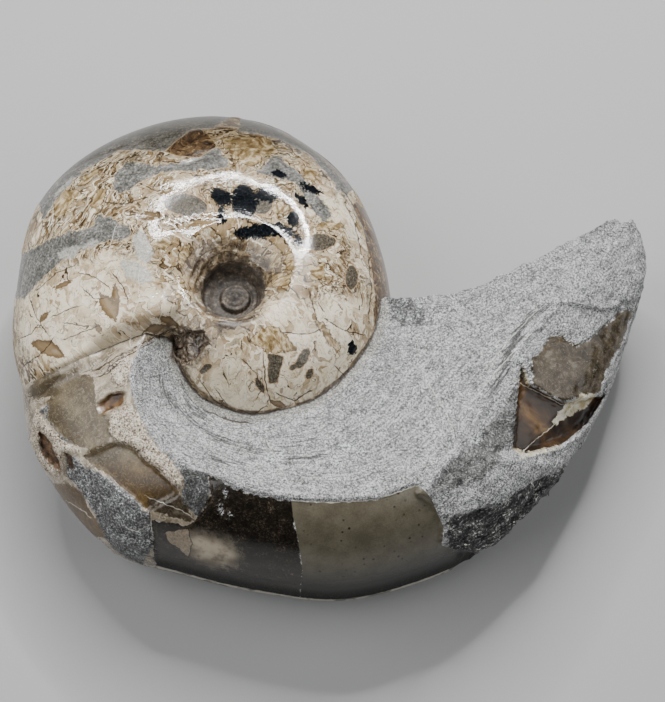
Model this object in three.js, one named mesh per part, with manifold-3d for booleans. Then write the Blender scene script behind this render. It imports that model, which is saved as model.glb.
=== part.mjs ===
// A fossil nautilus lying on its flank: a polished coil with a deep navel, and the last whorl,
// worn down to a dished crescent of limestone that runs out into a broken horn.
//
// One stone, so one solid. Millimetres, +Z up. The coil's axis is upright, the horn points along +X,
// and the origin is at the middle of the outline, on the surface that the stone rests on.
import * as THREE from 'three';
import { mergeVertices } from 'three/addons/utils/BufferGeometryUtils.js';
import Module from 'manifold-3d';

// ---- Driving dimensions, measured from the coil's axis ----

const MID_HEIGHT = 30; // of the shell's widest line, above the resting surface
const CREST_HEIGHT = 62; // of the coil's flank, at its highest ring
const CREST_RADIUS = 17; // of that ring
const CREST_SHIFT = [1, 3.8]; // of its centre along X and Y: it stands off the axis, away from the crescent
const SUNK = 1.5; // how far the lower flank is rounded past the flat that the stone rests on

// The umbilical pit, from its floor out: radius, height, and the ring's shift along X and Y. A low
// plug stands in the floor, and the wall is steeper on the side towards the crescent.
const NAVEL = [
  [2.6, 51.6, 0, 0],
  [4.4, 51.2, 0, 0],
  [5.2, 50.2, -0.2, 0],
  [7.6, 51.2, -0.9, 0],
  [8.4, 52.8, -1.1, 0],
  [9.4, 55.8, -1, 0.4],
  [11.3, 58.6, -0.6, 1.2],
  [14.0, 60.9, 0.2, 2.5],
];
const LOWER_NAVEL = [ // the same pit on the hidden flank
  [12.5, 1.5, 0, 0],
  [9.5, 5.0, 0, 0],
  [5.0, 9.0, 0, 0],
];

// The coil's reach from its axis, by the angle of turn from +X in degrees. It drops where the last
// whorl's shell is broken off in a lip.
const COIL_REACH = [
  [-125, 29], [-105, 34.5], [-80, 39.5], [-50, 43.5], [-20, 46], [5, 47.5], [30, 51], [60, 61],
  [90, 71], [120, 75.5], [145, 76.5], [170, 70.5], [195, 68.5], [203, 64], [208.5, 41], [213, 26.5],
  [224, 27],
];

// The last whorl, station by station from under the lip to the tip of the horn.
// inner: the dish's inner edge. ridge: the shoulder between dish and outer face. outer: the widest line.
const STATIONS = [
  { inner: [-8, -8, 43], ridge: [-25, -10, 54], outer: [-63, -6, 30], foot: 0 },
  { inner: [-10, -14, 44], ridge: [-28, -22, 56], outer: [-65, -24, 30], foot: 0 },
  { inner: [-10, -18, 44], ridge: [-27, -38, 56], outer: [-59, -44, 28], foot: 0 },
  { inner: [-7, -23, 44], ridge: [-17, -52, 56], outer: [-40, -67, 25], foot: 0 },
  { inner: [-2, -27, 45], ridge: [-3, -59, 57], outer: [-15, -76, 25], foot: 0 },
  { inner: [4, -28, 45], ridge: [10, -63, 57], outer: [8, -81.5, 26], foot: 0 },
  { inner: [11, -26, 46], ridge: [28, -65, 57], outer: [32, -84, 27], foot: 0 },
  { inner: [18, -22, 46], ridge: [44, -63.5, 56], outer: [56, -78, 26], foot: 0 },
  { inner: [25, -15, 47], ridge: [60, -54, 54], outer: [78, -67, 25], foot: 0 },
  { inner: [32, -7, 47], ridge: [70, -40, 51], outer: [97, -48, 26], foot: 0 },
  { inner: [45, 2, 47], ridge: [80, -25, 49], outer: [112, -25, 28], foot: 0 },
  { inner: [64, 3, 47], ridge: [90, -11, 47], outer: [122, 0, 30], foot: 1 },
  { inner: [84, 12, 46], ridge: [101, 2, 46], outer: [127, 17, 32], foot: 4 },
  { inner: [102, 23, 44], ridge: [111, 16, 44], outer: [127, 27, 33], foot: 8 },
  { inner: [117, 32, 42], ridge: [119, 30, 42], outer: [124, 33, 37], foot: 12 },
];
const DISH_POWER = 1.35; // above 1 the crescent is hollow
const RIDGE_SLANT = 0.42; // radians: how steeply the outer face leaves the ridge
const FOOT_INSET = 27; // from the widest line to where the lower flank turns level

const RIM = { from: 3.1, to: 7.4, step: 2, proud: 1.6 }; // a ledge of shell low on the outer face
const BROKEN_FROM = 7.7; // the station past which the outer face is rough stone
const OUTER_LUMPS = 0.6; // height of the lumps on that face
const WALL_LUMPS = 1.1; // and on the broken wall of the horn
const WALL_HOLLOW = 1.5; // how far that wall is hollowed back between its edges
const WALL_HOLLOW_WIDTH = 30; // where the horn is narrower than this, the wall is flatter
const LUMP_SIZE = 9; // across one lump

// Hollows and raised places are outlined on a drawing plane that leans back from upright by 66
// degrees, with its zero at the floor of the navel: u to the right, v up the plane.
const PLANE_LEAN = 66;
const PLANE_ZERO = 50.2;

const LEDGE = { // the horn's outer part, broken a step lower than the dish
  depth: 0.9,
  outline: [
    [66, -43], [71, -32], [78, -25], [84, -17], [92, -8], [99, -1], [112, -3], [127, 2], [127, -50],
    [84, -47],
  ],
};
const LOBE = { // rough stone that laps over the polished band
  height: 1.6,
  outline: [
    [53, -56], [59, -49], [62, -44], [82, -46], [98, -42], [108, -40], [108, -60], [80, -80],
    [75, -73], [67, -74], [60.5, -71.5], [61, -66], [58, -59],
  ],
};
const SCOOP = { // a dark broken hollow across the lower part of the lobe
  depth: 1.8,
  outline: [
    [61.5, -66], [70.5, -61.5], [79.5, -60], [93, -55.5], [85.5, -63.5], [79.5, -68], [73, -71.5],
    [66, -71.5],
  ],
};
const AMBER_HOLLOW = { // a pocket of brown calcite near the end of the horn
  depth: 4,
  outline: [
    [85.5, -19], [87.5, -25.5], [98, -31], [112, -29], [107, -37], [97.5, -43.5], [85.5, -45.5],
    [82, -44], [83, -36],
  ],
};
const SUNK_PANE = {
  depth: 1.5,
  outline: [[-43.5, -46], [-33.5, -42], [-29, -43], [-17.5, -52], [-14.5, -56], [-24, -61.5], [-38, -50]],
};
const AMBER_HOLE = {
  depth: 2.2,
  outline: [[-39.5, -31], [-37.5, -33.5], [-32, -31], [-31.5, -27.5], [-35.5, -28]],
};
const LONG_LENS = {
  depth: 2.5,
  outline: [[-58, -39], [-54, -42], [-51.5, -48], [-51, -51], [-54.5, -49], [-57.5, -45]],
};
const SHORT_LENS = {
  depth: 1.5,
  outline: [[-49.5, -45], [-47, -46.5], [-46.5, -50], [-48.5, -50]],
};
const LIP_HOLLOW = { // under the broken lip of the shell
  depth: 4,
  outline: [[-19, -11], [-14, -9], [-8.5, -9.5], [-7.5, -13], [-10.5, -17], [-14, -19], [-17.5, -17]],
};
const CORNER_BLOCK = { // a facet of limestone left standing low on the outer face
  height: 1.6,
  outline: [[-35, -70], [-23.5, -71], [-22.5, -75], [-28, -85], [-35, -82]],
};

// Facets: round the coil, along the whorl, and across its dish, outer face, lower flank and wall.
const RINGS_ROUND_COIL = 72;
const STEPS_ALONG_WHORL = 60;
const DISH_STEPS = 8;
const FACE_STEPS = 9;
const UNDER_STEPS = 7;
const WALL_STEPS = 5;

// ---- Small helpers ----

const radians = THREE.MathUtils.degToRad;
const vector = (x, y, z) => new THREE.Vector3(x, y, z);

// A smooth closed curve of radius against angle, through the table's rows.
function reachAt(degrees) {
  const count = COIL_REACH.length;
  let turned = degrees;
  while (turned < COIL_REACH[0][0]) turned += 360;
  while (turned >= COIL_REACH[0][0] + 360) turned -= 360;
  const row = (i) => {
    const laps = Math.floor(i / count);
    const [angle, radius] = COIL_REACH[i - laps * count];
    return [angle + 360 * laps, radius];
  };
  let i = 0;
  while (row(i + 1)[0] <= turned) i += 1;
  const [before, start, end, after] = [row(i - 1), row(i), row(i + 1), row(i + 2)];
  const span = end[0] - start[0];
  const t = (turned - start[0]) / span;
  const slopeIn = ((end[1] - before[1]) / (end[0] - before[0])) * span;
  const slopeOut = ((after[1] - start[1]) / (after[0] - start[0])) * span;
  const bend = 2 * (start[1] - end[1]) + slopeIn + slopeOut;
  const sag = 3 * (end[1] - start[1]) - 2 * slopeIn - slopeOut;
  return start[1] + t * (slopeIn + t * (sag + t * bend));
}

// A closed solid through rings of points, each with the same count, ending in a fan at both ends.
function loft(rings) {
  const size = rings[0].length;
  const points = rings.flat();
  const faces = [];
  for (let i = 0; i + 1 < rings.length; i += 1) {
    for (let j = 0; j < size; j += 1) {
      const next = (j + 1) % size;
      const [a, b] = [i * size + j, i * size + next];
      faces.push(a, b, b + size, a, b + size, a + size);
    }
  }
  const cap = (first, turn) => {
    const centre = vector(0, 0, 0);
    for (let j = 0; j < size; j += 1) centre.addScaledVector(points[first + j], 1 / size);
    points.push(centre);
    for (let j = 0; j < size; j += 1) {
      const pair = [first + j, first + ((j + 1) % size)];
      if (turn) pair.reverse();
      faces.push(points.length - 1, ...pair);
    }
  };
  cap(0, true);
  cap((rings.length - 1) * size, false);
  const geometry = new THREE.BufferGeometry().setFromPoints(points);
  geometry.setIndex(faces);
  return geometry;
}

const wasm = await Module();
wasm.setup();

function solid(geometry) {
  geometry.deleteAttribute('normal');
  geometry.deleteAttribute('uv');
  const merged = mergeVertices(geometry);
  const mesh = new wasm.Mesh({
    numProp: 3,
    vertProperties: new Float32Array(merged.attributes.position.array),
    triVerts: new Uint32Array(merged.index.array),
  });
  return new wasm.Manifold(mesh);
}

function geometryOf(manifold) {
  const mesh = manifold.getMesh();
  const geometry = new THREE.BufferGeometry();
  geometry.setAttribute('position', new THREE.BufferAttribute(mesh.vertProperties, 3));
  geometry.setIndex(new THREE.BufferAttribute(mesh.triVerts, 1));
  return geometry;
}

// ---- The coil: the inner whorls, with a navel on both flanks ----

function coilProfile(reach) {
  const span = reach - CREST_RADIUS;
  const rise = CREST_HEIGHT - MID_HEIGHT;
  const fall = MID_HEIGHT + SUNK;
  const profile = [...NAVEL];
  for (let step = 0; step <= 10; step += 1) {
    const turn = (Math.PI / 2) * (step / 10);
    const shift = CREST_SHIFT.map((distance) => distance * Math.cos(turn) ** 2);
    const height = MID_HEIGHT + rise * Math.cos(turn) ** 0.9;
    profile.push([CREST_RADIUS + span * Math.sin(turn), height, ...shift]);
  }
  for (let step = 1; step <= 6; step += 1) {
    const turn = (Math.PI / 2) * (step / 6);
    profile.push([CREST_RADIUS + span * Math.cos(turn), MID_HEIGHT - fall * Math.sin(turn), 0, 0]);
  }
  profile.push(...LOWER_NAVEL);
  return profile;
}

function coil() {
  const profiles = [];
  for (let i = 0; i < RINGS_ROUND_COIL; i += 1) {
    profiles.push(coilProfile(reachAt((360 * i) / RINGS_ROUND_COIL)));
  }
  const rings = profiles[0].map((unused, level) => profiles.map((profile, i) => {
    const angle = radians((360 * i) / RINGS_ROUND_COIL);
    const [radius, height, shiftX, shiftY] = profile[level];
    return vector(radius * Math.cos(angle) + shiftX, radius * Math.sin(angle) + shiftY, height);
  }));
  return loft(rings.reverse());
}

// ---- The last whorl: dished crescent, outer face and horn ----

function guide(key) {
  const points = STATIONS.map((station) => vector(...station[key]));
  return new THREE.CatmullRomCurve3(points, false, 'catmullrom', 0.5);
}

// 1 between two stations, falling to 0 over a quarter of a station outside them.
function between(station, from, to) {
  const rise = THREE.MathUtils.smoothstep(station, from - 0.25, from);
  return rise * (1 - THREE.MathUtils.smoothstep(station, to, to + 0.25));
}

// Rounded lumps about LUMP_SIZE across, from -1 to 1.
function lumps({ x, y, z }) {
  const turn = (2 * Math.PI) / LUMP_SIZE;
  const wide = Math.sin(turn * (0.5 * x + 0.3 * y)) * Math.cos(turn * (0.4 * y - 0.6 * z));
  return 0.6 * wide + 0.4 * Math.sin(turn * (0.9 * z + 0.7 * x) + 1) * Math.cos(turn * (0.8 * x - y));
}

function whorlSection(station, inner, ridge, outer, foot) {
  const section = [];
  const outward = outer.clone().sub(inner).setZ(0).normalize();
  const place = (from, to, share, height) => {
    const point = from.clone().lerp(to, share);
    return point.setZ(height);
  };
  const push = (point, proud) => section.push(point.addScaledVector(outward, proud));
  const broken = between(station, BROKEN_FROM, STATIONS.length);

  for (let step = 0; step < DISH_STEPS; step += 1) {
    const t = step / DISH_STEPS;
    push(place(inner, ridge, t, inner.z + (ridge.z - inner.z) * t ** DISH_POWER), 0);
  }
  for (let step = 0; step < FACE_STEPS; step += 1) {
    const turn = RIDGE_SLANT + (Math.PI / 2 - RIDGE_SLANT) * (step / FACE_STEPS);
    const share = (Math.sin(turn) - Math.sin(RIDGE_SLANT)) / (1 - Math.sin(RIDGE_SLANT));
    const height = outer.z + ((ridge.z - outer.z) * Math.cos(turn)) / Math.cos(RIDGE_SLANT);
    const point = place(ridge, outer, share, height);
    push(point, OUTER_LUMPS * broken * lumps(point));
  }
  const width = Math.hypot(outer.x - inner.x, outer.y - inner.y);
  const inset = Math.min(FOOT_INSET / width, 0.8);
  const floor = foot - SUNK;
  const rim = RIM.proud * between(station, RIM.from, RIM.to);
  for (let step = 0; step <= UNDER_STEPS; step += 1) {
    const turn = (Math.PI / 2) * (step / UNDER_STEPS);
    const height = outer.z - (outer.z - floor) * Math.sin(turn);
    const point = place(outer, inner, inset * (1 - Math.cos(turn)), height);
    push(point, OUTER_LUMPS * broken * lumps(point) + (step === RIM.step ? rim : 0));
  }
  push(place(outer, inner, (inset + 1) / 2, floor), 0);
  push(place(outer, inner, 0.97, floor), 0);
  for (let step = 1; step < WALL_STEPS; step += 1) {
    const point = place(inner, outer, 0, floor + (inner.z - floor) * (step / WALL_STEPS));
    push(point, Math.min(1, width / WALL_HOLLOW_WIDTH) * (WALL_HOLLOW + WALL_LUMPS * lumps(point)));
  }
  return section;
}

function lastWhorl() {
  const [inner, ridge, outer] = ['inner', 'ridge', 'outer'].map(guide);
  const rings = [];
  for (let i = 0; i <= STEPS_ALONG_WHORL; i += 1) {
    const t = i / STEPS_ALONG_WHORL;
    const station = t * (STATIONS.length - 1);
    const last = Math.min(Math.floor(station), STATIONS.length - 2);
    const foot = THREE.MathUtils.lerp(STATIONS[last].foot, STATIONS[last + 1].foot, station - last);
    rings.push(whorlSection(station, inner.getPoint(t), ridge.getPoint(t), outer.getPoint(t), foot));
  }
  return loft(rings);
}

// ---- Hollows and raised places, outlined on the drawing plane ----

const lean = radians(90 - PLANE_LEAN);
const planeNormal = vector(0, -Math.sin(lean), Math.cos(lean));

// Everything in front of and behind an outline, as a straight-sided bar across the drawing plane.
function bar(outline) {
  const shape = new THREE.Shape(outline.map(([u, v]) => new THREE.Vector2(u, v)));
  const geometry = new THREE.ExtrudeGeometry(shape, { depth: 90, bevelEnabled: false });
  geometry.translate(0, 0, -45);
  geometry.rotateX(lean);
  geometry.translate(0, 0, PLANE_ZERO);
  return solid(geometry);
}

function shifted(body, distance) {
  return solid(geometryOf(body).translate(...planeNormal.clone().multiplyScalar(distance)));
}

function recess(body, { outline, depth }) {
  return body.subtract(bar(outline).subtract(shifted(body, -depth)));
}

function raise(body, { outline, height }) {
  return body.add(bar(outline).intersect(shifted(body, height)));
}

// ---- The stone ----

function restingFlat() {
  const box = new THREE.BoxGeometry(400, 400, 20);
  box.translate(0, 0, -10);
  return box;
}

let body = solid(coil()).add(solid(lastWhorl()));
body = recess(body, LEDGE);
body = raise(body, LOBE);
body = raise(body, CORNER_BLOCK);
for (const hollow of [SCOOP, AMBER_HOLLOW, SUNK_PANE, AMBER_HOLE, LONG_LENS, SHORT_LENS, LIP_HOLLOW]) {
  body = recess(body, hollow);
}
body = body.subtract(solid(restingFlat()));

const stone = geometryOf(body);
stone.computeBoundingBox();
const { min, max } = stone.boundingBox;
stone.translate(-(min.x + max.x) / 2, -(min.y + max.y) / 2, 0);

const material = new THREE.MeshStandardMaterial({ color: 0xb3ada1, roughness: 0.5, metalness: 0 });
const nautilus = new THREE.Mesh(stone, material);
nautilus.name = 'fossil_nautilus';

const group = new THREE.Group();
group.add(nautilus);
export default group;
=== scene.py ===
import math

import bpy
import numpy as np
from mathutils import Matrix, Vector, noise
from mathutils.kdtree import KDTree


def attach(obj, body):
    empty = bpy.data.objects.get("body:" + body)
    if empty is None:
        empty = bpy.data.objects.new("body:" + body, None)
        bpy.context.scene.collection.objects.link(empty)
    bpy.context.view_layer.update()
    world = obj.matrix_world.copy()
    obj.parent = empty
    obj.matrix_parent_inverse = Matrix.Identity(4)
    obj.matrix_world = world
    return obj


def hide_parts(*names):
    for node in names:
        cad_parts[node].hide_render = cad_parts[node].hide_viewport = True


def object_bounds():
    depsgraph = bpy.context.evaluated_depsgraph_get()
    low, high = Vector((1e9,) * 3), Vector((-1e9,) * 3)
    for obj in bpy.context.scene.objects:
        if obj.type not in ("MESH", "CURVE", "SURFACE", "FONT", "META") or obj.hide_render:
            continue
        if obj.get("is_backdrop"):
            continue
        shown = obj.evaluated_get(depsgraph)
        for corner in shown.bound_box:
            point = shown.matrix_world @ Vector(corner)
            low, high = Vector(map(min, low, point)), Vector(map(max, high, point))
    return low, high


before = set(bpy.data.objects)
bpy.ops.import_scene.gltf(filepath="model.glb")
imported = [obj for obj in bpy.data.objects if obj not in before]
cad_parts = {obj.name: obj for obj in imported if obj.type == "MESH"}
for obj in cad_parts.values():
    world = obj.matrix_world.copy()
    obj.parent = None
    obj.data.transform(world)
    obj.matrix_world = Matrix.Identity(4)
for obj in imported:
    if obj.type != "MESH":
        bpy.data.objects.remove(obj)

CAD_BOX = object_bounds()
MM = 0.001
AXIS = (-28.975, 6.1)  # where the coil's axis stands in the frame
NODE = "fossil_nautilus"

# ---- The form: the same dimensions as the CAD solid ----

MID_HEIGHT = 30.0
CREST_HEIGHT = 62.0
CREST_RADIUS = 17.0
CREST_SHIFT = (1.0, 3.8)  # the crest's ring stands off the axis, away from the crescent
SUNK = 1.5
NAVEL_FLOOR = 51.7
# radius, height and shift along X and Y of the rings of the navel
NAVEL = [
    (2.6, 51.6, 0, 0), (4.4, 51.2, 0, 0), (5.2, 50.2, -0.2, 0), (7.6, 51.2, -0.9, 0), (8.4, 52.8, -1.1, 0),
    (9.4, 55.8, -1, 0.4), (11.3, 58.6, -0.6, 1.2), (14.0, 60.9, 0.2, 2.5),
]
LOWER_NAVEL = [(12.5, 1.5), (9.5, 5.0), (5.0, 9.0)]
COIL_REACH = [
    (-125, 29), (-105, 34.5), (-80, 39.5), (-50, 43.5), (-20, 46), (5, 47.5), (30, 51), (60, 61), (90, 71),
    (120, 75.5), (145, 76.5), (170, 70.5), (195, 68.5), (203, 64), (208.5, 41), (213, 26.5), (224, 27),
]
# inner edge of the dish, ridge, widest line of the outer face, and height of the foot
STATIONS = [
    ((-8, -8, 43), (-25, -10, 54), (-63, -6, 30), 0),
    ((-10, -14, 44), (-28, -22, 56), (-65, -24, 30), 0),
    ((-10, -18, 44), (-27, -38, 56), (-59, -44, 28), 0),
    ((-7, -23, 44), (-17, -52, 56), (-40, -67, 25), 0),
    ((-2, -27, 45), (-3, -59, 57), (-15, -76, 25), 0),
    ((4, -28, 45), (10, -63, 57), (8, -81.5, 26), 0),
    ((11, -26, 46), (28, -65, 57), (32, -84, 27), 0),
    ((18, -22, 46), (44, -63.5, 56), (56, -78, 26), 0),
    ((25, -15, 47), (60, -54, 54), (78, -67, 25), 0),
    ((32, -7, 47), (70, -40, 51), (97, -48, 26), 0),
    ((45, 2, 47), (80, -25, 49), (112, -25, 28), 0),
    ((64, 3, 47), (90, -11, 47), (122, 0, 30), 1),
    ((84, 12, 46), (101, 2, 46), (127, 17, 32), 4),
    ((102, 23, 44), (111, 16, 44), (127, 27, 33), 8),
    ((117, 32, 42), (119, 30, 42), (124, 33, 37), 12),
]
DISH_POWER = 1.35
RIDGE_SLANT = 0.42
FOOT_INSET = 27.0
INSET_MOST = 0.8  # of the whorl's width
WALL_HOLLOW = 1.5
WALL_HOLLOW_WIDTH = 30.0

# the ledge of shell low on the outer face: its stations and height, then radians below the widest
# line and half its width
RIM_FROM, RIM_TO, RIM_FADE, RIM_PROUD = 3.1, 7.4, 0.25, 1.6
RIM_TURN, RIM_HALF = 0.45, 0.2

# left of the navel the funnel is wider: degrees, and how far the shell is lowered there
FUNNEL_AT, FUNNEL_DROP = 195.0, 1.8

# Hollows, raised places and markings are outlined on a drawing plane that leans back from upright
# by 66 degrees, with its zero near the floor of the navel: u to the right, v up the plane.
LEAN = math.radians(24)
PLANE_ZERO = 50.2
PLANE_UP = np.array([0.0, math.cos(LEAN), math.sin(LEAN)])
PLANE_NORMAL = np.array([0.0, -math.sin(LEAN), math.cos(LEAN)])


def ease(x, low, high):
    """0 below low, 1 above high, smooth between; low may be the greater."""
    t = np.clip((x - low) / (high - low), 0, 1)
    return t * t * (3 - 2 * t)


def reach_at(degrees):
    """The coil's reach from its axis, on a smooth closed curve through COIL_REACH."""
    angles, radii = np.array(COIL_REACH, float).T
    angles = np.concatenate([angles[-1:] - 360, angles, angles[:3] + 360])
    radii = np.concatenate([radii[-1:], radii, radii[:3]])
    turned = (degrees - angles[1]) % 360 + angles[1]
    i = np.searchsorted(angles, turned, side="right") - 1
    span = angles[i + 1] - angles[i]
    t = (turned - angles[i]) / span
    into = (radii[i + 1] - radii[i - 1]) / (angles[i + 1] - angles[i - 1]) * span
    out = (radii[i + 2] - radii[i]) / (angles[i + 2] - angles[i]) * span
    bend = 2 * (radii[i] - radii[i + 1]) + into + out
    sag = 3 * (radii[i + 1] - radii[i]) - 2 * into - out
    return radii[i] + t * (into + t * (sag + t * bend))


def catmull(points, t):
    """Points of a uniform Catmull-Rom curve at each t from 0 to 1."""
    p = np.array(points, float)
    p = np.concatenate([2 * p[:1] - p[1:2], p, 2 * p[-1:] - p[-2:-1]])
    where = np.asarray(t) * (len(points) - 1)
    i = np.minimum(where.astype(int), len(points) - 2)
    w = (where - i)[:, None]
    a, b, c, d = p[i], p[i + 1], p[i + 2], p[i + 3]
    into, out = (c - a) / 2, (d - b) / 2
    return b + w * (into + w * (3 * (c - b) - 2 * into - out + w * (2 * (b - c) + into + out)))


def add_values(mesh, name, values, domain="POINT"):
    values = np.asarray(values, np.float32)
    vector = values.ndim == 2
    made = mesh.attributes.new(name, "FLOAT_VECTOR" if vector else "FLOAT", domain)
    made.data.foreach_set("vector" if vector else "value", values.ravel())


def grid_mesh(name, rings, along=None, across=None):
    """A closed mesh through an array of rings [ring, point, xyz], with a fan over both ends.

    along and across, [ring, point + 1], are surface coordinates kept for the material.
    """
    count, size = rings.shape[:2]
    points = np.concatenate([rings.reshape(-1, 3), rings[:1].mean(1), rings[-1:].mean(1)])
    i = np.arange(count - 1)[:, None] * size
    j = np.arange(size)[None, :]
    k = (j + 1) % size
    quads = np.stack([i + j, i + k, i + size + k, i + size + j], -1).reshape(-1, 4)
    last = (count - 1) * size
    fans = [(count * size, int(b), int(a)) for a, b in zip(j[0], k[0])]
    fans += [(count * size + 1, last + int(a), last + int(b)) for a, b in zip(j[0], k[0])]
    mesh = bpy.data.meshes.new(name)
    mesh.from_pydata(points.tolist(), [], quads.tolist() + fans)
    if along is not None:
        flow = np.stack([along, across, np.zeros_like(along)], -1)
        corners = np.stack([flow[:-1, :-1], flow[:-1, 1:], flow[1:, 1:], flow[1:, :-1]], 2).reshape(-1, 3)
        ends = [flow[[0, 0, 0], [a, a + 1, a]] for a in range(size)]
        ends += [flow[[-1, -1, -1], [a, a, a + 1]] for a in range(size)]
        add_values(mesh, "flow", np.concatenate([corners, *ends]), "CORNER")
    return bpy.data.objects.new(name, mesh)


# rings of the coil round its axis: closer at the shell's lip, degrees LIP_FROM to LIP_TO
RINGS_BEFORE_LIP, LIP_RINGS, RINGS_AFTER_LIP = 292, 70, 18
LIP_FROM, LIP_TO = 201.5, 214.5
COIL_START = -125  # degrees; the surface coordinates join here, beside the crescent's tip
NAVEL_STEPS = 40
FLANK_STEPS = 80
UNDER_STEPS = 16
FLANK_POWER = 0.9
MM_PER_DEGREE = 0.75  # along the coil in its surface coordinates


def coil():
    lip = np.linspace(LIP_FROM, LIP_TO, LIP_RINGS)
    before = np.linspace(COIL_START, LIP_FROM, RINGS_BEFORE_LIP, endpoint=False)
    after = np.linspace(LIP_TO, COIL_START + 360, RINGS_AFTER_LIP + 1)[1:-1]
    degrees = np.concatenate([before, lip, after])
    span = reach_at(degrees) - CREST_RADIUS
    same = np.ones(len(degrees))
    navel = [(0.0, NAVEL_FLOOR, 0, 0), *NAVEL, (CREST_RADIUS, CREST_HEIGHT, *CREST_SHIFT)]
    navel = catmull(navel, np.linspace(0.02, 0.98, NAVEL_STEPS))
    levels = [(radius * same, height, shift) for radius, height, *shift in navel]
    shift = np.array(CREST_SHIFT)
    for step in range(FLANK_STEPS + 1):
        turn = math.pi / 2 * step / FLANK_STEPS
        height = MID_HEIGHT + (CREST_HEIGHT - MID_HEIGHT) * max(math.cos(turn), 0) ** FLANK_POWER
        levels.append((CREST_RADIUS + span * math.sin(turn), height, shift * math.cos(turn) ** 2))
    for step in range(1, UNDER_STEPS + 1):
        turn = math.pi / 2 * step / UNDER_STEPS
        height = MID_HEIGHT - (MID_HEIGHT + SUNK) * math.sin(turn)
        levels.append((CREST_RADIUS + span * math.cos(turn), height, (0, 0)))
    levels += [(radius * same, height, (0, 0)) for radius, height in LOWER_NAVEL]
    angle = np.radians(degrees)
    rings = np.array([
        np.stack([r * np.cos(angle) + sx, r * np.sin(angle) + sy, h * same], -1) for r, h, (sx, sy) in levels
    ])
    across = np.cumsum(np.linalg.norm(np.diff(rings, axis=0, prepend=rings[:1]), axis=2), axis=0)
    across = np.column_stack([across, across[:, 0]])
    along = np.broadcast_to(np.append(degrees, COIL_START + 360) * MM_PER_DEGREE, across.shape)
    return grid_mesh("coil", rings[::-1], along[::-1], across[::-1])


WHORL_RINGS = 380
DISH_STEPS = 56
FACE_STEPS = 50
LOWER_STEPS = 22
WALL_STEPS = 26
DISH_SHARE, WHORL_SHARE = 36.0, 190.0  # the dish's width and the whorl's length in surface coordinates


def last_whorl():
    t = np.linspace(0, 1, WHORL_RINGS)
    inner, ridge, outer = (catmull([s[k] for s in STATIONS], t) for k in range(3))
    station = t * (len(STATIONS) - 1)
    floor = np.interp(station, range(len(STATIONS)), [s[3] for s in STATIONS]) - SUNK
    outward = (outer - inner) * (1, 1, 0)
    width = np.linalg.norm(outward, axis=1)
    outward /= width[:, None]
    inset = np.minimum(FOOT_INSET / width, INSET_MOST)
    points = []

    def place(start, end, share, height):
        share = np.broadcast_to(np.asarray(share, float).reshape(-1, 1), (len(t), 1))
        point = start + (end - start) * share
        point[:, 2] = height
        points.append(point)

    for step in range(DISH_STEPS):
        share = step / DISH_STEPS
        place(inner, ridge, share, inner[:, 2] + (ridge[:, 2] - inner[:, 2]) * share**DISH_POWER)
    for step in range(FACE_STEPS):
        turn = RIDGE_SLANT + (math.pi / 2 - RIDGE_SLANT) * step / FACE_STEPS
        share = (math.sin(turn) - math.sin(RIDGE_SLANT)) / (1 - math.sin(RIDGE_SLANT))
        fall = math.cos(turn) / math.cos(RIDGE_SLANT)
        place(ridge, outer, share, outer[:, 2] + (ridge[:, 2] - outer[:, 2]) * fall)
    rim = RIM_PROUD * ease(station, RIM_FROM - RIM_FADE, RIM_FROM) * ease(station, RIM_TO + RIM_FADE, RIM_TO)
    for step in range(LOWER_STEPS + 1):
        turn = math.pi / 2 * step / LOWER_STEPS
        height = outer[:, 2] - (outer[:, 2] - floor) * math.sin(turn)
        place(outer, inner, inset * (1 - math.cos(turn)), height)
        points[-1] += outward * (rim * max(0.0, 1 - abs(turn - RIM_TURN) / RIM_HALF))[:, None]
    place(outer, inner, (inset + 1) / 2, floor)
    place(outer, inner, 0.97, floor)
    for step in range(1, WALL_STEPS):
        level = step / WALL_STEPS
        place(inner, outer, 0.0, floor + (inner[:, 2] - floor) * level)
        hollow = WALL_HOLLOW * min(1.0, 5 * level, 5 * (1 - level)) * np.minimum(1, width / WALL_HOLLOW_WIDTH)
        points[-1] += outward * hollow[:, None]
    rings = np.array(points).transpose(1, 0, 2)
    closed = np.concatenate([rings, rings[:, :1]], axis=1)
    across = np.cumsum(np.linalg.norm(np.diff(closed, axis=1, prepend=closed[:, :1]), axis=2), axis=1)
    dish = across[:, DISH_STEPS : DISH_STEPS + 1].copy()
    across[:, : DISH_STEPS + 1] *= DISH_SHARE / dish
    across[:, DISH_STEPS + 1 :] += DISH_SHARE - dish
    along = np.broadcast_to(WHORL_SHARE * t[:, None], across.shape)
    return grid_mesh("last_whorl", rings, along, across)


def link(obj):
    bpy.context.scene.collection.objects.link(obj)
    return obj


def join(body, tool, operation):
    """Applies one boolean to body and removes the tool."""
    change = body.modifiers.new(operation, "BOOLEAN")
    change.operation = operation
    change.solver = "MANIFOLD"
    change.object = tool
    graph = bpy.context.evaluated_depsgraph_get()
    made = bpy.data.meshes.new_from_object(body.evaluated_get(graph))
    body.modifiers.clear()
    body.data = made
    bpy.data.objects.remove(tool)
    return body


# ---- The drawing plane's outlines ----

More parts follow.
